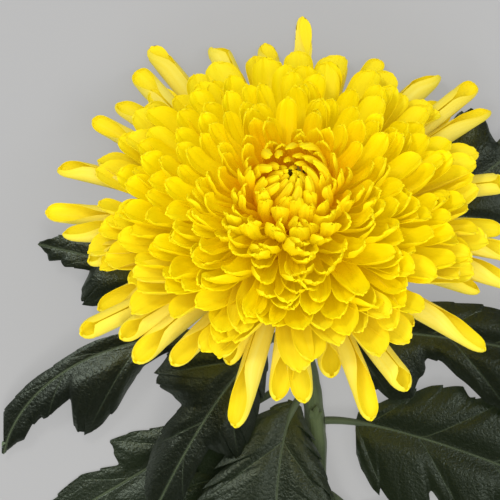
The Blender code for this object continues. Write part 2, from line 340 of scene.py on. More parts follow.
def bendPetal(petal, across, along, draw):
    shape = petalShapes[petal["kind"]]
    half = petal["halfWidth"] * shape["spread"] * (0.82 + 0.18 * petal["share"])
    root, tip = np.array(petal["curve"][0]), np.array(petal["curve"][3])
    length = np.linalg.norm(tip - root) * 1.1

    # the sheet narrows to its root, rolls up and opens towards its tip
    opensFrom, opensTo = shape["opens"]
    loose = draw.uniform(-1, 1) * shape["loose"]  # some are still rolled up, others lie wide open
    opened = smoothStep(along, opensFrom - petalSheet["looseOpening"] * loose, opensTo)
    wrapTip = shape["wrapTip"] - petalSheet["looseTip"] * loose
    wrap = np.radians(blendTo(shape["wrapRoot"], wrapTip, opened))
    width = half * blendTo(shape["rootWidth"], 1.0, smoothStep(along, 0.0, 0.62))
    width = width * (1.0 - shape["taper"] * smoothStep(along, shape["tapersFrom"], 1.0))
    radius = width / np.sin(np.minimum(wrap, math.pi / 2))
    roundFrom = 1.0 - shape["roundness"] * half / length
    closing = np.clip((along - roundFrom) / (1.0 - roundFrom), 0.0, 1.0)
    ending = np.sqrt(1.0 - closing**2)
    turned = wrap * across * blendTo(shape["blunt"], 1.0, ending)
    bow = radius * (1.0 - blendTo(shape["bow"], 1.0, ending))  # what a quill's rounded end closes by
    radius = radius - bow

    # a round end, often with a small notch or two, and waved where the petal is crumpled
    crumple = petal.get("crumple", 0.0)
    share = along - 0.3 * half / length * (1 - np.sqrt(1 - (0.97 * across) ** 2)) * along**6
    for _ in range(petalSheet["notches"]):
        depth = shape["notch"] * (1.0 + crumple) * max(0.0, draw.uniform(-1.6 + crumple, 1.0))
        middle = draw.uniform(-0.5, 0.5)
        cut = np.exp(-(((across - middle) / petalSheet["notchWidth"]) ** 2))
        share = share - depth / length * cut * smoothStep(along, 0.75, 1.0)

    at, forwardFlat = curveAt(petal["curve"], share)
    turn = petal["azimuth"] + petal["swirl"] * share**2
    outwards = np.stack((np.cos(turn), np.sin(turn), np.zeros_like(turn)), axis=1)
    up = np.array((0.0, 0.0, 1.0))
    centre = outwards * at[:, :1] + up * at[:, 1:]
    forward = outwards * forwardFlat[:, :1] + up * forwardFlat[:, 1:]
    face = up * forwardFlat[:, :1] - outwards * forwardFlat[:, 1:]
    roll = (petal["roll"] * (0.4 + 0.6 * share))[:, None]
    face = face * np.cos(roll) + np.cross(forward, face) * np.sin(roll)
    side = np.cross(forward, face)

    sideways = radius * np.sin(turned)
    lift = radius * (1 - np.cos(turned)) + petalSheet["bowLift"] * bow
    lift = lift + shape["hood"] * draw.uniform(0.4, 1.4) * smoothStep(along, 0.74, 1.0) ** 1.5
    waves, phase = draw.uniform(1.5, 3.0), draw.uniform(0.0, math.tau)
    edge = np.abs(across) ** 3 * smoothStep(along, 0.45, 0.8)
    ripple = np.sin(math.tau * waves * along + phase + 1.5 * across)
    lift = lift + shape["wave"] * (1.0 + 3.0 * crumple) * edge * ripple
    lift = lift - shape["ridge"] * np.cos(3 * math.pi * across) * smoothStep(along, 0.2, 0.5) * (1 - edge)

    places = leanBloom(centre + side * sideways[:, None] + face * lift[:, None])
    sunk = np.maximum(0.0, petalSheet["lowest"] - places[:, 2]) / math.sin(bloomPlace["lean"])
    places[:, 1] += sunk * math.cos(bloomPlace["lean"])
    places[:, 2] += sunk * math.sin(bloomPlace["lean"])
    over = max(0.0, places[:, 2].max() - bloomPlace["highest"])
    places[:, 2] -= over * along**3
    return places


def bendCopies(blank, petals, across, along, name, draw):
    made = []
    for number, petal in enumerate(petals):
        copied = copyOf(blank, f"{name} {number}")
        setPlaces(copied, bendPetal(petal, across, along, draw))
        setTone(copied, "tone", draw.uniform(0.0, 1.0))
        made.append(copied)
    bpy.data.objects.remove(blank)
    return made


def makePetals(petals, name, materials, draw):
    blank, across, along = newSheet("petal blank", petalSheet["columns"], petalSheet["rows"])
    along = 1 - (1 - along) ** petalSheet["nearTip"]
    edge = blank.vertex_groups.new(name="thickness")
    for index, place in enumerate(across):
        edge.add([index], 1.0 - petalSheet["thinEdge"] * abs(place) ** 3, "REPLACE")
    made = bendCopies(blank, petals, across, along, name, draw)
    for copied, petal in zip(made, petals):
        setTone(copied, "outer", petal["share"] if petal["kind"] != "whorl" else 0.0)
    joined = joinPieces(made, name)
    setMaterials(joined, *materials)
    useModifier(joined, "SOLIDIFY", thickness=petalSheet["thickness"] * mm, offset=-1.0,
                vertex_group="thickness", material_offset=1, material_offset_rim=0)
    smoothPiece(joined)
    finishPiece(joined, "bloom")


# The green cup under the bloom, its bracts, and the solid heart that the petals grow from

cupShape = {
    "top": -12.4,
    "foot": -22.0,
    "gap": 0.35,  # to the stem
    "bractRows": ((12, 5.0, 11.5, 60), (10, 4.2, 9.6, 70)),  # count, foot and tip radius, tip's slope
    "innerBracts": (14, 6.0, 11.8, 66, -0.4),  # the same, and how far up its row stands
    "thickness": 0.4,
    "seed": 5,
}
heartOutline = ((8, 9.5), (17, 7), (26, 3), (30, 0), (26, -2.5), (16, -5.5), (10, -9.5), (8, -12.2))
florets = {
    "count": 30, "reach": 3.6, "height": 19.5, "length": 3.2,
    "foot": 0.28, "mouth": 0.5, "rim": 0.14, "hollow": 0.9, "seed": 31,
}


def turnedBody(name, outline, around):
    # a solid turned about the bloom's axis from its radii and heights
    radius, height = outline[0]
    bpy.ops.mesh.primitive_circle_add(
        vertices=around, radius=radius, fill_type="NGON", location=(0, 0, height))
    body = bpy.context.object
    body.name = name
    bpy.ops.object.transform_apply(location=True)
    bpy.ops.object.mode_set(mode="EDIT")
    for nextRadius, nextHeight in outline[1:]:
        bpy.ops.mesh.extrude_region_move(TRANSFORM_OT_translate={"value": (0, 0, nextHeight - height)})
        change = nextRadius / radius
        bpy.ops.transform.resize(value=(change, change, 1.0), center_override=(0, 0, nextHeight))
        radius, height = nextRadius, nextHeight
    bpy.ops.mesh.select_all(action="SELECT")
    bpy.ops.mesh.normals_make_consistent(inside=False)
    bpy.ops.object.mode_set(mode="OBJECT")
    return body


def leanPiece(piece):
    setPlaces(piece, leanBloom(readPlaces(piece)))


def makeHeart(material):
    heart = turnedBody("petal_heart", heartOutline, 36)
    useModifier(heart, "SUBSURF", levels=1, render_levels=1)
    leanPiece(heart)
    setMaterials(heart, material)
    smoothPiece(heart, 60)
    finishPiece(heart, "bloom")


def makeFlorets(material):
    # tiny tubes in the opening at the middle of the whorl
    draw = random.Random(florets["seed"])
    bpy.ops.mesh.primitive_cone_add(vertices=6, radius1=florets["foot"], radius2=florets["mouth"],
                                    depth=florets["length"])
    blank = bpy.context.object
    editFace(blank, lambda centre: centre.z)
    bpy.ops.mesh.inset(thickness=florets["rim"])
    bpy.ops.mesh.extrude_region_move(TRANSFORM_OT_translate={"value": (0, 0, -florets["hollow"])})
    bpy.ops.object.mode_set(mode="OBJECT")
    made = []
    for i in range(florets["count"]):
        share = (i + 0.5) / florets["count"]
        radius, turn = florets["reach"] * math.sqrt(share), i * goldenAngle
        copied = copyOf(blank, f"floret {i}")
        height = florets["height"] + draw.uniform(-1.2, 1.2)
        foot = Vector((radius * math.cos(turn), radius * math.sin(turn), height))
        tilt = Vector((foot.x * 0.06, foot.y * 0.06, 1.0)).to_track_quat("Z", "Y").to_matrix().to_4x4()
        tilt.translation = foot
        copied.data.transform(tilt)
        leanPiece(copied)
        setTone(copied, "tone", draw.uniform(0.0, 1.0))
        made.append(copied)
    bpy.data.objects.remove(blank)
    joined = joinPieces(made, "florets")
    setMaterials(joined, material)
    smoothPiece(joined)
    finishPiece(joined, "bloom")


def bractRow(count, foot, top, spread, row, draw):
    for i in range(count):
        root = Vector((foot - 1.0, cupShape["foot"] + 1.5 + 2.0 * row))
        tip = Vector((top, cupShape["top"] - 1.2 - 2.2 * row + draw.uniform(-0.4, 0.4)))
        azimuth = math.tau * (i + 0.5 * row) / count
        yield newPetal("bract", 1.0, azimuth, root, tip, (20, spread), 2.0, 0.0, 0.0, (3.0, 3.0))


def makeInvolucre(materials):
    top, foot = cupShape["top"], cupShape["foot"]
    outline = (
        (9.2, top), (9.7, top - 1.0), (9.8, top - 2.5), (8.9, top - 4.6), (7.6, top - 6.5),
        (5.2, top - 8.3), (3.4, foot + 0.6), (2.6, foot),
    )
    cup = turnedBody("involucre_cup", outline, 40)
    leanPiece(cup)
    setTone(cup, "tone", 0.5)
    setMaterials(cup, materials[0])
    draw = random.Random(cupShape["seed"])
    bracts = []
    for row, facts in enumerate(cupShape["bractRows"]):
        bracts += bractRow(*facts, row, draw)
    bracts += bractRow(*cupShape["innerBracts"], draw)
    blank, across, along = newSheet("bract blank", 8, 12)
    joined = joinPieces(bendCopies(blank, bracts, across, along, "bract", draw), "bracts")
    setMaterials(joined, *materials)
    useModifier(joined, "SOLIDIFY", thickness=cupShape["thickness"] * mm, offset=-1.0)
    involucre = joinPieces([cup, joined], "involucre_fine")
    smoothPiece(involucre)
    finishPiece(involucre, "involucre")


# The stem

stemShape = {
    "radius": 2.7,
    "sides": 8,  # of the model's plain stem, whose flat side sets how low the round one lies
    "knots": ((1.0, -20.5, 8.2), (4.0, -34.0, 3.6), (7.0, -50.0, 0.0), (8.0, -72.0, 0.0),
              (6.0, -105.0, 0.0), (2.0, -145.0, 0.0), (-2.0, -190.0, 0.0)),
    "steps": 4,  # points between two knots
    "around": 30,
    "rows": 190,
    "ridges": 6,
    "ridgeDepth": 0.05,  # share of the radius
    "nodeSwell": 0.14,  # thickening where a leaf is joined on
    "nodeLength": 4.0,
    "nodesTake": 0.3,  # what the stretches between nodes give up to it
    "twist": 70.0,  # millimetres in which the ridges turn by one radian
    "lookAhead": 1.5,  # millimetres over which the stem's direction is smoothed
    "lowest": 0.03,
    "bark": 0.45,  # rings on the cut end: the skin's width, then the pith's
    "pith": 0.9,
    "budPoint": 0.55,  # how far a scale narrows to its tip
    "bud": (  # place, size, turn and lean of each scale
        ((7.4, -51.6, 5.0), (1.1, 2.6, 0.9), -12, 28), ((6.5, -52.2, 5.2), (0.8, 2.0, 0.5), 14, 34),
        ((8.2, -52.4, 4.9), (0.7, 2.2, 0.5), -38, 22),
    ),
}


def catmull(a, b, c, d, share):
    squared, cubed = 2 * a - 5 * b + 4 * c - d, 3 * b - a - 3 * c + d
    return 0.5 * (2 * b + (c - a) * share + squared * share**2 + cubed * share**3)


def stemRadius(y):
    return stemShape["radius"] * (0.86 + 0.14 * min(1.0, max(0.0, -y / 100.0)))


def stemRoute():
    lean = bloomPlace["lean"]
    axis = Vector((0.0, math.cos(lean), math.sin(lean)))
    top = Vector((0.0, 0.0, bloomPlace["height"])) + axis * (cupShape["foot"] - cupShape["gap"])
    knots = [top + axis * 6.0, top - axis * 2.5, *(Vector(knot) for knot in stemShape["knots"])]
    knots.append(knots[-1] + Vector((-4.0, -45.0, 0.0)))
    route = [top, knots[1]]
    for around in zip(knots, knots[1:], knots[2:], knots[3:]):
        route += [catmull(*around, step / stemShape["steps"]) for step in range(1, stemShape["steps"] + 1)]
    for at in route:
        at.z = max(at.z, stemRadius(at.y) * math.cos(math.pi / stemShape["sides"]))
    return route


def alongRoute(route, share):
    # places, directions and the length on a route of points, smoothed between them
    points = np.array(route)
    steps = np.concatenate(([0.0], np.cumsum(np.linalg.norm(np.diff(points, axis=0), axis=1))))
    reached = np.asarray(share) * steps[-1]
    at = np.stack([np.interp(reached, steps, points[:, i]) for i in range(3)], axis=1)
    near = stemShape["lookAhead"]
    ahead = np.stack([np.interp(reached + near, steps, points[:, i]) for i in range(3)], axis=1)
    behind = np.stack([np.interp(reached - near, steps, points[:, i]) for i in range(3)], axis=1)
    forward = ahead - behind
    return at, forward / np.linalg.norm(forward, axis=1, keepdims=True), reached


def wrapTube(at, forward, across, radius):
    # points of a sheet rolled round a route, with its seam underneath
    side = np.cross(forward, (0.0, 0.0, 1.0))
    side = side / np.linalg.norm(side, axis=1, keepdims=True)
    face = np.cross(side, forward)
    turn = (math.pi * across)[:, None]
    return at + (side * np.sin(turn) + face * np.cos(turn)) * np.asarray(radius)[:, None]


def closeTube(piece):
    # merges the seam and closes both ends
    selectOnly(piece)
    bpy.ops.object.mode_set(mode="EDIT")
    bpy.ops.mesh.select_all(action="SELECT")
    bpy.ops.mesh.remove_doubles(threshold=0.01 * mm)
    bpy.ops.mesh.select_all(action="DESELECT")
    bpy.ops.mesh.select_mode(type="EDGE")
    bpy.ops.mesh.select_non_manifold()
    bpy.ops.mesh.fill_holes(sides=0)
    bpy.ops.mesh.select_all(action="SELECT")
    bpy.ops.mesh.normals_make_consistent(inside=False)
    bpy.ops.object.mode_set(mode="OBJECT")


def makeBud(material):
    # a young side shoot, still shut, in the corner between the stem and a leaf
    made = []
    for place, size, turn, lean in stemShape["bud"]:
        bpy.ops.mesh.primitive_uv_sphere_add(segments=14, ring_count=12, radius=1.0)
        scale = bpy.context.object
        x, y, z = readPlaces(scale).T
        pointed = 1.0 - stemShape["budPoint"] * np.clip(y, 0.0, 1.0) ** 1.5
        shaped = np.stack((x * pointed * size[0], y * size[1], z * pointed * size[2]), axis=1)
        tilt, spin = math.radians(lean), math.radians(turn)
        x, y, z = shaped.T
        y, z = y * math.cos(tilt) - z * math.sin(tilt), y * math.sin(tilt) + z * math.cos(tilt)
        x, y = x * math.cos(spin) - y * math.sin(spin), x * math.sin(spin) + y * math.cos(spin)
        setPlaces(scale, np.stack((x, y, z), axis=1) + np.array(place))
        made.append(scale)
    bud = joinPieces(made, "side_bud")
    setTone(bud, "tone", 0.7)
    setMaterials(bud, material)
    smoothPiece(bud)
    finishPiece(bud, "stem")


def makeStem(route, material, pithMaterial):
    stem, across, along = newSheet("stalk", stemShape["around"], stemShape["rows"])
    at, forward, reached = alongRoute(route, along)
    radius = np.array([stemRadius(y) for y in at[:, 1]])
    swell = np.zeros_like(radius)
    for leaf in leaves:
        joint = (at[:, 1] - leaf.y) / stemShape["nodeLength"]
        swell = np.maximum(swell, np.exp(-(joint**2)))
    radius = radius * (1.0 + stemShape["nodeSwell"] * (swell - stemShape["nodesTake"]))
    twist = reached / stemShape["twist"]
    ridge = np.cos(stemShape["ridges"] * (math.pi * across + twist))
    radius = radius * (1.0 + stemShape["ridgeDepth"] * ridge)
    places = wrapTube(at, forward, across, radius)
    places[:, 2] = np.maximum(places[:, 2], stemShape["lowest"])
    setPlaces(stem, places)
    closeTube(stem)
    setMaterials(stem, material, pithMaterial)
    editFace(stem, lambda centre: -centre.y, 1)  # the cut end
    bpy.ops.mesh.inset(thickness=stemShape["bark"] * mm, depth=-0.12 * mm)
    bpy.ops.mesh.inset(thickness=stemShape["pith"] * mm, depth=0.1 * mm)
    bpy.ops.object.mode_set(mode="OBJECT")
    smoothPiece(stem)
    finishPiece(stem, "stem")


# The leaves: y where each leaves the stem, the point its midrib bends towards, its tip, the share of it
# that is bare petiole, the widths of its left and right halves, the edges of both, the droop of its edges,
# how far it puffs up between its veins, and how young and light it is

Leaf = namedtuple("Leaf", "y via tip bare left right leftEdge rightEdge droop puff tone")
leaves = (
    Leaf(-22, (-32, -13, 11), (-69, -5, 6), 0.2, 14, 10, "lateLobe", "lobed", 0.15, 2.4, 0.2),
    Leaf(-31, (-69, -20, 14), (-78.8, -63, 2.5), 0.2, 20, 4.5, "downLobe", "narrow", 0.2, 2.6, 0.0),
    Leaf(-27, (-16, -33, 26), (-37, -79, 10), 0.2, 14, 18.5, "eastLobe", "westLobe", 0.3, 3.0, 0.1),
    Leaf(-46, (-7, -54, 17), (-3, -110, 8), 0.1, 19, 22, "tapered", "tapered", 0.1, 2.2, 0.5),
    Leaf(-54, (30, -52, 6), (82, -76, 1), 0.17, 21, 23, "wedge", "broad", 0.05, 2.0, 0.6),
    Leaf(-29, (36, -26, 15), (84.9, -39, 8), 0.17, 11, 20, "smooth", "earlyLobe", 0.15, 2.6, 0.2),
    Leaf(-21, (36, 0, 10), (77, 32, 2), 0.2, 18, 16, "lateLobe", "lobed", 0.1, 2.4, 0.3),
    Leaf(-41, (-26, -60, 0), (-73, -87, 0), 0.2, 16, 12, "lobed", "middleLobe", 0.0, 1.4, 0.7),
    Leaf(-60, (-29, -57, 8), (-34, -103, 2.5), 0.2, 15, 13, "lobed", "lobed", 0.0, 1.4, 0.9),
    Leaf(-74, (26, -84, 3), (54, -121, 0.5), 0.2, 17, 15, "lobed", "lobed", 0.05, 1.2, 1.0),
)

# Each edge's main veins, one to a lobe, and its outline, both as shares of the blade's length; the second
# numbers of the outline are shares of the half width
leafEdges = {
    "lobed": {
        "toothDepth": 0.12, "veins": (0.15, 0.45, 0.75),
        "outline": (
            (0.00, 0.16), (0.05, 0.50), (0.09, 0.50), (0.15, 0.76), (0.20, 0.72), (0.25, 0.62),
            (0.30, 0.36), (0.34, 0.58), (0.38, 0.66), (0.45, 1.00), (0.50, 0.92), (0.55, 0.72),
            (0.60, 0.33), (0.65, 0.48), (0.75, 0.54), (0.80, 0.44), (0.86, 0.38), (0.92, 0.22),
            (1.00, 0.04),
        ),
    },
    "lateLobe": {
        "toothDepth": 0.10, "veins": (0.24, 0.53, 0.80),
        "outline": (
            (0.00, 0.12), (0.08, 0.26), (0.22, 0.34), (0.29, 0.42), (0.34, 0.68), (0.42, 0.86),
            (0.50, 0.98), (0.56, 0.97), (0.61, 0.70), (0.66, 0.28), (0.72, 0.30), (0.78, 0.33),
            (0.83, 0.23), (0.88, 0.28), (0.93, 0.14), (1.00, 0.03),
        ),
    },
    "downLobe": {
        "toothDepth": 0.10, "veins": (0.08, 0.31, 0.62),
        "outline": (
            (0.00, 0.12), (0.08, 0.22), (0.15, 0.34), (0.18, 0.60), (0.21, 0.86), (0.25, 0.98),
            (0.29, 1.00), (0.35, 0.96), (0.40, 0.88), (0.44, 0.72), (0.47, 0.38), (0.52, 0.36),
            (0.62, 0.35), (0.70, 0.26), (0.76, 0.23), (0.84, 0.22), (0.92, 0.12), (1.00, 0.03),
        ),
    },
    "narrow": {
        "toothDepth": 0.08, "veins": (0.20, 0.46, 0.70),
        "outline": (
            (0.00, 0.30), (0.10, 0.70), (0.30, 0.85), (0.50, 0.70), (0.65, 0.85), (0.78, 1.00),
            (0.88, 0.75), (0.95, 0.40), (1.00, 0.05),
        ),
    },
    "earlyLobe": {
        "toothDepth": 0.10, "veins": (0.10, 0.54, 0.82),
        "outline": (
            (0.00, 0.45), (0.05, 0.80), (0.10, 0.95), (0.16, 0.90), (0.22, 0.60), (0.28, 0.33),
            (0.33, 0.34), (0.38, 0.55), (0.46, 0.85), (0.54, 1.00), (0.60, 0.90), (0.66, 0.55),
            (0.72, 0.45), (0.80, 0.50), (0.88, 0.35), (0.94, 0.20), (1.00, 0.04),
        ),
    },
    "middleLobe": {
        "toothDepth": 0.10, "veins": (0.12, 0.43, 0.66),
        "outline": (
            (0.00, 0.12), (0.08, 0.35), (0.18, 0.50), (0.28, 0.70), (0.36, 0.92), (0.43, 1.00),
            (0.47, 0.75), (0.51, 0.42), (0.56, 0.55), (0.62, 0.65), (0.70, 0.60), (0.78, 0.50),
            (0.88, 0.34), (0.94, 0.20), (1.00, 0.04),
        ),
    },
    "westLobe": {
        "toothDepth": 0.08, "veins": (0.10, 0.30, 0.66),
        "outline": (
            (0.00, 0.20), (0.06, 0.55), (0.14, 0.88), (0.21, 0.99), (0.29, 0.98), (0.35, 0.86),
            (0.40, 0.58), (0.45, 0.40), (0.55, 0.47), (0.66, 0.46), (0.78, 0.40), (0.88, 0.29),
            (0.95, 0.16), (1.00, 0.04),
        ),
    },
    "eastLobe": {
        "toothDepth": 0.10, "veins": (0.15, 0.44, 0.84),
        "outline": (
            (0.00, 0.10), (0.06, 0.40), (0.15, 0.70), (0.25, 0.90), (0.33, 0.97), (0.42, 1.00),
            (0.48, 0.90), (0.53, 0.62), (0.58, 0.36), (0.66, 0.37), (0.76, 0.38), (0.86, 0.40),
            (0.93, 0.28), (1.00, 0.05),
        ),
    },
    "broad": {
        "toothDepth": 0.15, "veins": (0.13, 0.45, 0.76),
        "outline": (
            (0.00, 0.40), (0.03, 0.60), (0.08, 0.78), (0.14, 0.90), (0.20, 0.92), (0.26, 0.80),
            (0.31, 0.62), (0.36, 0.78), (0.45, 1.00), (0.52, 0.90), (0.58, 0.58), (0.63, 0.50),
            (0.70, 0.56), (0.78, 0.54), (0.87, 0.38), (0.94, 0.20), (1.00, 0.04),
        ),
    },
    "tapered": {
        "toothDepth": 0.24, "veins": (0.12, 0.40, 0.76),
        "outline": (
            (0.00, 0.10), (0.07, 0.25), (0.14, 0.48), (0.19, 0.62), (0.25, 0.74), (0.31, 0.86),
            (0.38, 1.00), (0.46, 0.98), (0.53, 0.80), (0.58, 0.55), (0.63, 0.48), (0.70, 0.54),
            (0.78, 0.52), (0.87, 0.36), (0.94, 0.20), (1.00, 0.04),
        ),
    },
    "wedge": {
        "toothDepth": 0.12, "veins": (0.20, 0.47, 0.76),
        "outline": (
            (0.00, 0.14), (0.06, 0.27), (0.12, 0.44), (0.20, 0.72), (0.28, 0.80), (0.34, 0.70),
            (0.40, 0.84), (0.47, 1.00), (0.54, 0.86), (0.60, 0.45), (0.66, 0.52), (0.76, 0.56),
            (0.84, 0.44), (0.92, 0.26), (1.00, 0.04),
        ),
    },
    "smooth": {
        "toothDepth": 0.05, "veins": (0.20, 0.46, 0.70),
        "outline": (
            (0.00, 0.20), (0.06, 0.50), (0.15, 0.72), (0.30, 0.90), (0.42, 0.96), (0.55, 0.86),
            (0.68, 0.72), (0.80, 0.52), (0.90, 0.32), (1.00, 0.04),
        ),
    },
}

leafShape = {
    "petioleHalf": 1.1,
    "sweep": 0.65,  # how far the lobes point forwards
    "veinSlant": 0.14,  # how much nearer the petiole a side vein leaves the midrib
    "veinGap": 20.0,  # about the way from one main vein to the next
    "veinGroove": 2.6,  # half widths of the grooves along the veins and the midrib, and of the rolled edge
    "veinDepth": 0.35,
    "ribGroove": 3.2,
    "edgeRoll": 4.0,
    "columns": 26,
    "rows": 150,
    "thickness": 0.5,
    "lowest": 0.55,
    "teeth": 13,
    "waves": ((1.3, 0.25), (2.4, 0.18), (4.1, 0.08)),  # their number along an edge, and share of the puff
    "ribColumns": 12,
    "ribRows": 60,
    "ribSinks": (0.14, 0.26),  # where along the leaf the petiole sinks under the blade
    "ribDepth": 0.82,  # share of its radius
    "seed": 41,
}


def leafMidrib(leaf, route):
    above, below = next(pair for pair in zip(route, route[1:]) if pair[1].y <= leaf.y)
    centre = above.lerp(below, (above.y - leaf.y) / (above.y - below.y))
    via, tip = Vector(leaf.via), Vector(leaf.tip)
    alongStem = (below - above).normalized()
    heading = (via - centre).normalized()
    away = (heading - alongStem * heading.dot(alongStem)).normalized()
    slant = math.sqrt(1.0 - heading.dot(away) ** 2)
    foot = centre + away * (stemRadius(leaf.y) + cupShape["gap"] + 1.3 * leafShape["petioleHalf"] * slant)
    return foot, foot.lerp(via, 0.67), tip.lerp(via, 0.5), tip


def leafWidth(edge, along, phase):
    # the outline's share of the half width, rounded between its points and cut into uneven teeth
    stations, widths = np.array(leafEdges[edge]["outline"]).T
    index = np.clip(np.searchsorted(stations, along, side="right") - 1, 0, len(stations) - 2)
    part = (along - stations[index]) / (stations[index + 1] - stations[index])
    part = blendTo(part, part * part * (3 - 2 * part), 0.5)
    width = blendTo(widths[index], widths[index + 1], part)
    teeth = np.mod(leafShape["teeth"] * along + phase + 0.3 * np.sin(17 * along + phase), 1.0)
    depth = leafEdges[edge]["toothDepth"] * (0.55 + 0.45 * np.sin(23 * along + 2 * phase))
    return width * (1.0 - depth * (1.0 - teeth) ** 1.5)


def veinCount(edge, along):
    # a whole number on each main vein, and halfway between two of them where two lobes part
    veins = leafEdges[edge]["veins"]
    return np.interp(along, (0.0, *veins, 1.05), range(len(veins) + 2))


def bendLeaf(leaf, route, across, along, draw):
    share = leaf.bare + (1.0 - leaf.bare) * along
    at, forward = curveAt(leafMidrib(leaf, route), share)
    side = np.cross(forward, (0.0, 0.0, 1.0))
    side = side / np.linalg.norm(side, axis=1, keepdims=True)
    face = np.cross(side, forward)
    out, left = np.abs(across), across < 0
    leftHalf = leaf.left * leafWidth(leaf.leftEdge, along, draw.uniform(0, 3))
    rightHalf = leaf.right * leafWidth(leaf.rightEdge, along, draw.uniform(0, 3))
    half = np.where(left, leftHalf, rightHalf)
    stalkHalf = leafShape["petioleHalf"]
    half = np.maximum(half, stalkHalf * (1.0 - 0.6 * share))
    spread = out * (half - stalkHalf)

    # sunken veins with the blade puffed up between them, and edges that curl down
    bend = along + leafShape["veinSlant"] * (1.0 - out)
    veins = np.where(left, veinCount(leaf.leftEdge, bend), veinCount(leaf.rightEdge, bend))
    near = np.abs(veins - np.round(veins)) * leafShape["veinGap"]
    fromRib = 1.0 - np.exp(-((out * half / leafShape["ribGroove"]) ** 2))
    fromEdge = 1.0 - np.exp(-(1.0 - out) * half / leafShape["edgeRoll"])
    fromVein = 1.0 - leafShape["veinDepth"] * np.exp(-((near / leafShape["veinGroove"]) ** 2))
    lift = leaf.puff * fromRib * fromEdge * fromVein
    for waves, strength in leafShape["waves"]:
        size = leaf.puff * strength * draw.uniform(0.5, 1.0)
        turned = math.tau * waves * along + draw.uniform(0, math.tau) + 1.4 * np.sign(across)
        lift = lift + size * out**1.5 * np.sin(turned)
    lift = lift - leaf.droop * spread * out**0.6
    sweep = leafShape["sweep"] * blendTo(0.3, 1.0, smoothStep(along, 0.0, 0.3))
    places = (at + side * (across * half)[:, None] + forward * (spread * sweep)[:, None]
              + face * lift[:, None])
    places[:, 2] = np.maximum(places[:, 2], leafShape["lowest"])
    return places, half, veins


def makeLeaf(number, leaf, route, materials, draw):
    blade, across, along = newSheet(f"leaf blade {number}", leafShape["columns"], leafShape["rows"])
    places, half, veins = bendLeaf(leaf, route, across, along, draw)
    setPlaces(blade, places, leafShape["thickness"])
    setTone(blade, "tone", leaf.tone)
    setTone(blade, "ribDistance", np.abs(across) * half)
    setTone(blade, "veins", veins)
    setMaterials(blade, *materials)
    useModifier(blade, "SOLIDIFY", thickness=leafShape["thickness"] * mm, offset=-1.0,
                material_offset=1, material_offset_rim=0)

    # the petiole, which runs on under the blade as its midrib
    rib, around, length = newSheet(f"leaf rib {number}", leafShape["ribColumns"], leafShape["ribRows"])
    at, forward = curveAt(leafMidrib(leaf, route), length)
    radius = leafShape["petioleHalf"] * (1.0 - 0.5 * smoothStep(length, 0.05, 0.45) - 0.3 * length)
    sink = radius * smoothStep(length, *leafShape["ribSinks"]) * leafShape["ribDepth"]
    at = at - np.array((0.0, 0.0, 1.0)) * sink[:, None]
    at[:, 2] = np.maximum(at[:, 2], radius + stemShape["lowest"])
    setPlaces(rib, wrapTube(at, forward, around, radius))
    setTone(rib, "tone", 0.5)
    setTone(rib, "ribDistance", 0.0)
    setTone(rib, "veins", 0.5)
    closeTube(rib)
    setMaterials(rib, materials[2])
    joined = joinPieces([blade, rib], f"leaf_{number}_fine")
    smoothPiece(joined, 50)
    finishPiece(joined, f"leaf_{number}")


# Materials

def newMaterial(name, roughness, **constants):
    material = bpy.data.materials.new(name)
    material.use_nodes = True
    shader = material.node_tree.nodes["Principled BSDF"]
    shader.inputs["Roughness"].default_value = roughness
    for socket, value in constants.items():
        shader.inputs[socket.replace("_", " ")].default_value = value
    return material, material.node_tree, shader


def addNode(tree, kind, **values):
    made = tree.nodes.new("ShaderNode" + kind)
    for name, value in values.items():
        setattr(made, name, value)
    return made


def feed(tree, socket, value):
    if isinstance(value, bpy.types.NodeSocket):
        tree.links.new(value, socket)
    else:
        socket.default_value = value


def calculate(tree, operation, first, second=0.0):
    made = addNode(tree, "Math", operation=operation)
    feed(tree, made.inputs[0], first)
    feed(tree, made.inputs[1], second)
    return made.outputs[0]


def times(tree, first, second):
    return calculate(tree, "MULTIPLY", first, second)


def mixColours(tree, share, first, second):
    made = addNode(tree, "Mix", data_type="RGBA")
    for socket, value in ((made.inputs[0], share), (made.inputs[6], first), (made.inputs[7], second)):
        feed(tree, socket, (*value, 1.0) if isinstance(value, tuple) and len(value) == 3 else value)
    return made.outputs[2]


def tint(tree, colour, mask, strength, other):
    return mixColours(tree, times(tree, mask, strength), colour, other)


def colourSteps(tree, share, *steps):
    # a colour ramp from (place, colour) pairs
    made = addNode(tree, "ValToRGB")
    ramp = made.color_ramp
    while len(ramp.elements) < len(steps):
        ramp.elements.new(0.5)
    for element, (place, colour) in zip(ramp.elements, steps):
        element.position = place
        element.color = (*colour, 1.0)
    feed(tree, made.inputs[0], share)
    return made.outputs[0]


def remap(tree, value, low, high, toLow=0.0, toHigh=1.0, curve="LINEAR"):
    made = addNode(tree, "MapRange", interpolation_type=curve)
    feed(tree, made.inputs["Value"], value)
    for socket, number in (("From Min", low), ("From Max", high), ("To Min", toLow), ("To Max", toHigh)):
        made.inputs[socket].default_value = number
    return made.outputs[0]


def addNoise(tree, place, scale, detail=2.0):
    made = addNode(tree, "TexNoise")
    made.inputs["Detail"].default_value = detail
    feed(tree, made.inputs["Vector"], place)
    feed(tree, made.inputs["Scale"], scale)
    return made.outputs


def addBump(tree, shader, height, strength, depth):
    # depth in millimetres, and below nought where the pattern is pressed in
    made = addNode(tree, "Bump", invert=depth < 0)
    made.inputs["Strength"].default_value = strength
    made.inputs["Distance"].default_value = abs(depth) * mm
    feed(tree, made.inputs["Height"], height)
    feed(tree, shader.inputs["Normal"], made.outputs[0])


def readUv(tree):
    # the UV map, and its way across and along
    uv = addNode(tree, "UVMap").outputs[0]
    split = addNode(tree, "SeparateXYZ")
    feed(tree, split.inputs[0], uv)
    return uv, split.outputs[0], split.outputs[1]


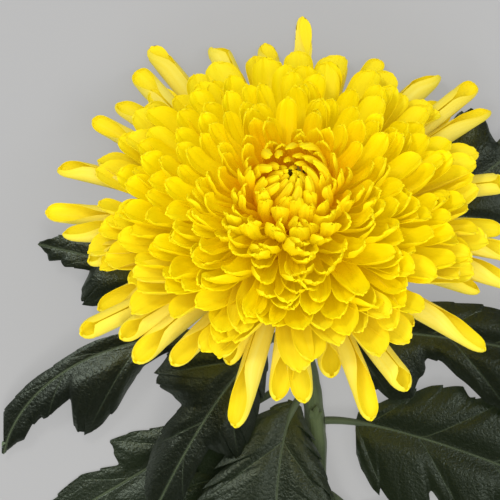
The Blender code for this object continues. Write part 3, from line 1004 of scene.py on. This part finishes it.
def fromMiddle(tree, across):
    # nought along the middle of a sheet and one at its side edges
    side = calculate(tree, "ABSOLUTE", calculate(tree, "SUBTRACT", across, 0.5))
    return times(tree, side, 2.0)


def readTone(tree, name):
    return addNode(tree, "Attribute", attribute_name=name).outputs["Fac"]


def newGroup(name, inputs, outputs):
    group = bpy.data.node_groups.new(name, "ShaderNodeTree")
    for socket, kind, value in inputs:
        made = group.interface.new_socket(socket, in_out="INPUT", socket_type=kind)
        if value is not None:
            made.default_value = value
    for socket in outputs:
        group.interface.new_socket(socket, in_out="OUTPUT", socket_type="NodeSocketFloat")
    return group, group.nodes.new("NodeGroupInput").outputs, group.nodes.new("NodeGroupOutput").inputs


def useGroup(tree, group, **values):
    made = tree.nodes.new("ShaderNodeGroup")
    made.node_tree = group
    for name, value in values.items():
        feed(tree, made.inputs[name], value)
    return made.outputs


def makeStreaks():
    # fine lines that run along a petal or a stem, from its UV map
    group, given, out = newGroup(
        "streaks along",
        (
            ("Vector", "NodeSocketVector", None), ("Lines", "NodeSocketFloat", 14.0),
            ("Seed", "NodeSocketFloat", 0.0),
        ),
        ("Mask", "Height"),
    )
    split = addNode(group, "SeparateXYZ")
    feed(group, split.inputs[0], given["Vector"])
    joined = addNode(group, "CombineXYZ")
    feed(group, joined.inputs[0], times(group, split.outputs[0], given["Lines"]))
    feed(group, joined.inputs[1], times(group, split.outputs[1], 1.3))
    feed(group, joined.inputs[2], times(group, given["Seed"], 37.0))
    noise = addNoise(group, joined.outputs[0], 1.0, detail=3.0)[0]
    feed(group, out["Mask"], remap(group, noise, 0.35, 0.7))
    feed(group, out["Height"], noise)
    return group


def makeMottle():
    # soft clouds of lighter and darker colour
    group, given, out = newGroup(
        "mottle",
        (("Vector", "NodeSocketVector", None), ("Scale", "NodeSocketFloat", 60.0)),
        ("Mask", "Grain"),
    )
    clouds = addNoise(group, given["Vector"], given["Scale"], detail=4.0)[0]
    grain = addNoise(group, given["Vector"], times(group, given["Scale"], 28.0))[0]
    feed(group, out["Mask"], remap(group, clouds, 0.32, 0.68))
    feed(group, out["Grain"], grain)
    return group


def makePetalMaterial(name, streaks, look):
    material, tree, shader = newMaterial(name, look["roughness"], Specular_IOR_Level=look["gloss"])
    uv, across, along = readUv(tree)
    tone, outer = readTone(tree, "tone"), readTone(tree, "outer")
    young = colourSteps(tree, along, (0.0, look["root"]), (0.55, look["middle"]), (0.9, look["tip"]))
    old = colourSteps(
        tree, along, (0.0, look["oldRoot"]), (0.6, look["oldMiddle"]), (0.92, look["oldTip"]))
    colour = mixColours(tree, remap(tree, outer, look["agesFrom"], 1.0), young, old)
    colour = tint(tree, colour, tone, 0.3, look["deep"])
    lines = useGroup(tree, streaks, Vector=uv, Lines=16.0, Seed=tone)
    colour = tint(tree, colour, lines["Mask"], look["lines"], look["deep"])
    # painted shade: the petals' side edges and tips are tinted to the deeper edge colour, damping the
    # light their raised edges catch
    rim = calculate(tree, "POWER", fromMiddle(tree, across), 6.0)
    rim = calculate(tree, "MAXIMUM", rim, calculate(tree, "POWER", along, 20.0))
    colour = tint(tree, colour, rim, look["rim"], look["edge"])
    # painted shade: the petals nearest the middle are tinted towards the deeper heart colour, most at
    # their roots
    inner = remap(tree, outer, 0.0, look["middleShadeReach"], 1.0, 0.0)
    middleShadeMask = times(tree, inner, calculate(tree, "SUBTRACT", 1.0, along))
    colour = tint(tree, colour, middleShadeMask, look["middleShade"], look["heart"])
    feed(tree, shader.inputs["Base Color"], colour)
    feed(tree, shader.inputs["Emission Color"], colour)  # painted glow in the petals' own colour, standing in for the light that comes through from petals behind
    shader.inputs["Emission Strength"].default_value = look["through"]
    addBump(tree, shader, lines["Height"], 0.5, 0.12)
    return material


# Young colours are the inner petals', old ones the outer petals' and quills', and heart is a deeper orange
# painted on the roots of the petals in the middle: painted shade deep in the whorl
# the petals' glow is painted light that lifts their shade, standing in for light through the petals
petalSkin = {
    # rim and edge: painted shade, a deeper colour on the petals' side edges and tips
    "roughness": 0.5, "gloss": 0.1, "through": 0.1, "rim": 0.4, "edge": (0.84, 0.62, 0.001),
    # heart, with its reach and strength: painted shade on the middle petals' roots
    "middleShadeReach": 0.2, "middleShade": 1.0, "heart": (0.80, 0.36, 0.001),
}
petalInside = {
    **petalSkin, "lines": 0.32, "agesFrom": 0.7, "deep": (0.85, 0.64, 0.001),
    "root": (0.87, 0.51, 0.001), "middle": (0.87, 0.715, 0.001), "tip": (0.88, 0.755, 0.003),
    "oldRoot": (0.85, 0.62, 0.03), "oldMiddle": (0.86, 0.73, 0.03), "oldTip": (0.87, 0.76, 0.02),
}
petalOutside = {
    **petalSkin, "lines": 0.42, "agesFrom": 0.8, "deep": (0.78, 0.58, 0.004),
    "root": (0.87, 0.53, 0.001), "middle": (0.87, 0.71, 0.002), "tip": (0.88, 0.75, 0.004),
    "oldRoot": (0.78, 0.70, 0.18), "oldMiddle": (0.83, 0.74, 0.14), "oldTip": (0.87, 0.76, 0.07),
}


def makeVeinNet():
    # a mesh of fine veins on a leaf, with the blade puffed up a little between them
    group, given, out = newGroup(
        "vein net",
        (("Vector", "NodeSocketVector", None), ("Scale", "NodeSocketFloat", 1300.0)),
        ("Vein", "Height"),
    )
    warp = addNoise(group, given["Vector"], 180.0)
    bent = addNode(group, "VectorMath", operation="MULTIPLY_ADD")
    feed(group, bent.inputs[0], warp[1])
    bent.inputs[1].default_value = (0.003, 0.003, 0.003)
    feed(group, bent.inputs[2], given["Vector"])
    cells = addNode(group, "TexVoronoi", feature="DISTANCE_TO_EDGE")
    feed(group, cells.inputs["Vector"], bent.outputs[0])
    feed(group, cells.inputs["Scale"], given["Scale"])
    feed(group, out["Vein"], remap(group, cells.outputs[0], 0.0, 0.1, 1.0, 0.0))
    feed(group, out["Height"], remap(group, cells.outputs[0], 0.0, 0.4))
    return group


def veinLines(tree, count, halfWidth):
    # a thin line wherever the count of veins passes a whole number
    near = calculate(tree, "ABSOLUTE", calculate(tree, "SUBTRACT", count, calculate(tree, "ROUND", count)))
    return remap(tree, near, 0.0, halfWidth, 1.0, 0.0, "SMOOTHSTEP")


def makeLeafMaterial(name, groups, look):
    material, tree, shader = newMaterial(
        name, look["roughness"], IOR=1.7, Specular_IOR_Level=look["gloss"],
        Specular_Tint=(0.86, 1.0, 0.82, 1.0), Sheen_Weight=look["down"], Sheen_Roughness=0.5)
    across = readUv(tree)[1]
    place = addNode(tree, "TexCoord").outputs["Object"]
    cloud = useGroup(tree, groups["mottle"], Vector=place, Scale=look["clouds"])
    net = useGroup(tree, groups["net"], Vector=place)
    # veins: main ones off the midrib, four small ones to each, and all of them fading towards the edge
    count = readTone(tree, "veins")
    small = veinLines(tree, times(tree, count, 4.0), 0.07)
    both = calculate(tree, "MAXIMUM", veinLines(tree, count, 0.032), times(tree, small, 0.2))
    fade = calculate(tree, "SUBTRACT", 1.0, calculate(tree, "POWER", fromMiddle(tree, across), 2.5))
    midrib = remap(tree, readTone(tree, "ribDistance"), 0.2, 0.6, 1.0, 0.0)
    veins = calculate(tree, "MAXIMUM", times(tree, both, fade), midrib)
    colour = mixColours(tree, cloud["Mask"], look["dark"], look["light"])
    colour = tint(tree, colour, readTone(tree, "tone"), 0.7, look["young"])
    colour = tint(tree, colour, net["Vein"], look["netShows"], look["vein"])
    colour = tint(tree, colour, veins, look["veinShows"], look["vein"])
    feed(tree, shader.inputs["Base Color"], colour)
    smoothest, roughest = look["roughness"] - 0.1, look["roughness"] + 0.12
    roughness = remap(tree, cloud["Grain"], 0.0, 1.0, smoothest, roughest)
    feed(tree, shader.inputs["Roughness"], roughness)
    height = times(tree, net["Height"], look["netRaised"])
    height = calculate(tree, "SUBTRACT", height, times(tree, veins, 1.2))
    height = calculate(tree, "ADD", height, times(tree, cloud["Grain"], 3.5))
    addBump(tree, shader, height, 1.0 if look["raised"] > 0 else 0.8, look["raised"])
    return material


leafTop = {
    "roughness": 0.46, "gloss": 1.0, "down": 0.0, "clouds": 45.0,
    "netShows": 0.08, "netRaised": 0.3, "veinShows": 0.65, "raised": 0.07,
    "dark": (0.002, 0.0035, 0.0013), "light": (0.006, 0.009, 0.0035),
    "young": (0.015, 0.025, 0.007), "vein": (0.045, 0.062, 0.03),
}
leafUnder = {
    "roughness": 0.62, "gloss": 0.35, "down": 0.2, "clouds": 45.0,
    "netShows": 0.45, "netRaised": 1.0, "veinShows": 0.8, "raised": -0.2,
    "dark": (0.08, 0.115, 0.06), "light": (0.12, 0.165, 0.09),
    "young": (0.13, 0.18, 0.09), "vein": (0.20, 0.25, 0.14),
}


def makeStalkMaterial(name, groups, look):
    # ridged green skin, for the stem, the petioles, the bud and the cup
    material, tree, shader = newMaterial(name, look["roughness"], Specular_IOR_Level=0.4, Sheen_Weight=0.1)
    uv = addNode(tree, "UVMap").outputs[0]
    place = addNode(tree, "TexCoord").outputs["Object"]
    lines = useGroup(tree, groups["streaks"], Vector=uv, Lines=look["lines"], Seed=readTone(tree, "tone"))
    cloud = useGroup(tree, groups["mottle"], Vector=place, Scale=90.0)
    colour = mixColours(tree, cloud["Mask"], look["dark"], look["light"])
    colour = tint(tree, colour, lines["Mask"], 0.45, look["streak"])
    feed(tree, shader.inputs["Base Color"], colour)
    height = calculate(tree, "ADD", lines["Height"], times(tree, cloud["Grain"], 0.6))
    addBump(tree, shader, height, 0.8, 0.2)
    return material


stalkSkin = {
    "roughness": 0.55, "lines": 40.0,
    "dark": (0.04, 0.064, 0.023), "light": (0.075, 0.105, 0.04), "streak": (0.12, 0.155, 0.065),
}
petioleSkin = {
    "roughness": 0.55, "lines": 12.0,
    "dark": (0.045, 0.062, 0.028), "light": (0.07, 0.095, 0.045), "streak": (0.09, 0.115, 0.06),
}
cupSkin = {
    "roughness": 0.6, "lines": 18.0,
    "dark": (0.07, 0.11, 0.03), "light": (0.12, 0.17, 0.05), "streak": (0.20, 0.22, 0.09),
}
pithSkin = {
    "roughness": 0.8, "lines": 10.0,
    "dark": (0.45, 0.50, 0.28), "light": (0.60, 0.62, 0.40), "streak": (0.38, 0.42, 0.20),
}
floretSkin = {
    "roughness": 0.6, "clouds": 400.0, "cloud": (0.10, 0.07, 0.01),
    "tones": ((0.0, (0.05, 0.03, 0.006)), (0.45, (0.22, 0.15, 0.02)), (1.0, (0.45, 0.42, 0.06))),
}
# painted shade: the solid heart is a darker deep yellow, filling the gaps between the petals' roots with
# the look of their shade
heartShadeSkin = {
    "roughness": 0.7, "clouds": 150.0,
    "dark": (0.55, 0.28, 0.002), "light": (0.75, 0.45, 0.004),  # deep yellow between the petals' roots
}


def makeFloretMaterial(mottle, look):
    material, tree, shader = newMaterial("florets", look["roughness"])
    tone = readTone(tree, "tone")
    place = addNode(tree, "TexCoord").outputs["Object"]
    cloud = useGroup(tree, mottle, Vector=place, Scale=look["clouds"])
    colour = colourSteps(tree, tone, *look["tones"])
    colour = tint(tree, colour, cloud["Mask"], 0.4, look["cloud"])
    feed(tree, shader.inputs["Base Color"], colour)
    return material


def makeHeartMaterial(mottle, look):
    material, tree, shader = newMaterial("petal roots", look["roughness"])
    place = addNode(tree, "TexCoord").outputs["Object"]
    cloud = useGroup(tree, mottle, Vector=place, Scale=look["clouds"])
    feed(tree, shader.inputs["Base Color"], mixColours(tree, cloud["Mask"], look["dark"], look["light"]))
    return material


def makeBloom(groups):
    draw = random.Random(bloomPlace["seed"])
    petals = [*whorlPetals(draw), *bodyPetals(draw), *quillPetals(draw)]
    look = random.Random(bloomPlace["lookSeed"])
    petals += [*collarPetals(look), *betweenPetals(look)]
    for petal in petals:
        if petal["kind"] == "body":  # the middle's petals are crumpled on the side that faces up
            petal["azimuth"] += look.uniform(-0.12, 0.12)
            below = max(0.0, -math.sin(petal["azimuth"]))
            petal["crumple"] = below * max(0.0, 1.0 - 1.2 * petal["share"])
            petal["roll"] += petal["crumple"] * look.uniform(-0.6, 0.6)
    materials = (
        makePetalMaterial("petal inside", groups["streaks"], petalInside),
        makePetalMaterial("petal outside", groups["streaks"], petalOutside),
    )
    for name, chosen in (
        ("petals_whorl", lambda petal: petal["kind"] == "whorl"),
        ("petals_inner", lambda petal: petal["kind"] == "body" and petal["share"] < 0.5),
        ("petals_outer", lambda petal: petal["kind"] == "body" and petal["share"] >= 0.5),
        ("petals_quill", lambda petal: petal["kind"] == "quill"),
    ):
        makePetals([petal for petal in petals if chosen(petal)], name, materials, look)
    makeHeart(makeHeartMaterial(groups["mottle"], heartShadeSkin))
    makeFlorets(makeFloretMaterial(groups["mottle"], floretSkin))


def makeGreenery(groups):
    petiole = makeStalkMaterial("petioles", groups, petioleSkin)
    makeInvolucre((makeStalkMaterial("cup", groups, cupSkin),))
    route = stemRoute()
    stalk = makeStalkMaterial("stalk", groups, stalkSkin)
    pith = makeStalkMaterial("pith", groups, pithSkin)
    makeStem(route, stalk, pith)
    makeBud(makeStalkMaterial("bud", groups, stalkSkin))
    top = makeLeafMaterial("leaf top", groups, leafTop)
    under = makeLeafMaterial("leaf underside", groups, leafUnder)
    draw = random.Random(leafShape["seed"])
    for number, leaf in enumerate(leaves, start=1):
        makeLeaf(number, leaf, route, (top, under, petiole), draw)


# Table, light and camera

studio = {
    "eye": (-10.6, -6.6, 750.0),  # straight above, round the bloom's base centre
    "viewWidth": 132.5,  # millimetres across the picture at the bloom's height
    "table": 0.14,
    "tableGlow": 0.32,
    "sky": 0.65,
    "lamps": (  # place, size, watts, and whether it shows as a highlight
        ((-420, 560, 800), 240, 2.7, True),
        ((640, 60, 800), 280, 1.1, True),
        ((-60, -640, 800), 280, 3.0, False),
        ((0, -100, 950), 700, 2.9, False),
    ),
    "film": 36,  # the width of the picture inside the camera, in millimetres
}


def makeStudio():
    bpy.ops.mesh.primitive_plane_add(size=4)
    table = bpy.context.object
    table.name = "table"
    material, _, shader = newMaterial("pale table", 0.9, Specular_IOR_Level=0.0)
    grey = studio["table"]
    white = (1.0, 1.0, 1.0, 1.0)
    shader.inputs["Base Color"].default_value = (grey, grey, grey, 1.0)
    shader.inputs["Emission Color"].default_value = white
    shader.inputs["Emission Strength"].default_value = studio["tableGlow"]
    setMaterials(table, material)
    table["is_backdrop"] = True
    for place, size, power, shines in studio["lamps"]:
        light = bpy.data.lights.new("softbox", "AREA")
        light.size = size * mm
        light.energy = power
        lamp = bpy.data.objects.new("softbox", light)
        lamp.location = Vector(place) * mm
        lamp.rotation_euler = Vector(place).to_track_quat("Z", "Y").to_euler()
        lamp.visible_glossy = shines
        bpy.context.scene.collection.objects.link(lamp)
    world = bpy.data.worlds.new("studio")
    world.use_nodes = True
    sky = world.node_tree.nodes["Background"].inputs
    sky[0].default_value = white
    sky[1].default_value = studio["sky"]
    world.cycles_visibility.glossy = False  # only the lamps shine on the leaves
    bpy.context.scene.world = world
    bpy.context.scene.view_settings.view_transform = "Standard"

    lens = bpy.data.cameras.new("camera")
    camera = bpy.data.objects.new("camera", lens)
    camera.location = (Vector(studio["eye"]) + plantShift) * mm
    lens.sensor_width = studio["film"]
    lens.lens = studio["film"] * (studio["eye"][2] - bloomPlace["height"]) / studio["viewWidth"]
    lens.clip_start = 0.01
    bpy.context.scene.collection.objects.link(camera)
    bpy.context.scene.camera = camera


groups = {"streaks": makeStreaks(), "mottle": makeMottle(), "net": makeVeinNet()}
makeBloom(groups)
print("bloom made")
makeGreenery(groups)
print("stem and leaves made")
makeStudio()

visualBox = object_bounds()
boxes = {"cad": cadBox, "visual": visualBox}
{name: [list(corner) for corner in box] for name, box in boxes.items()}
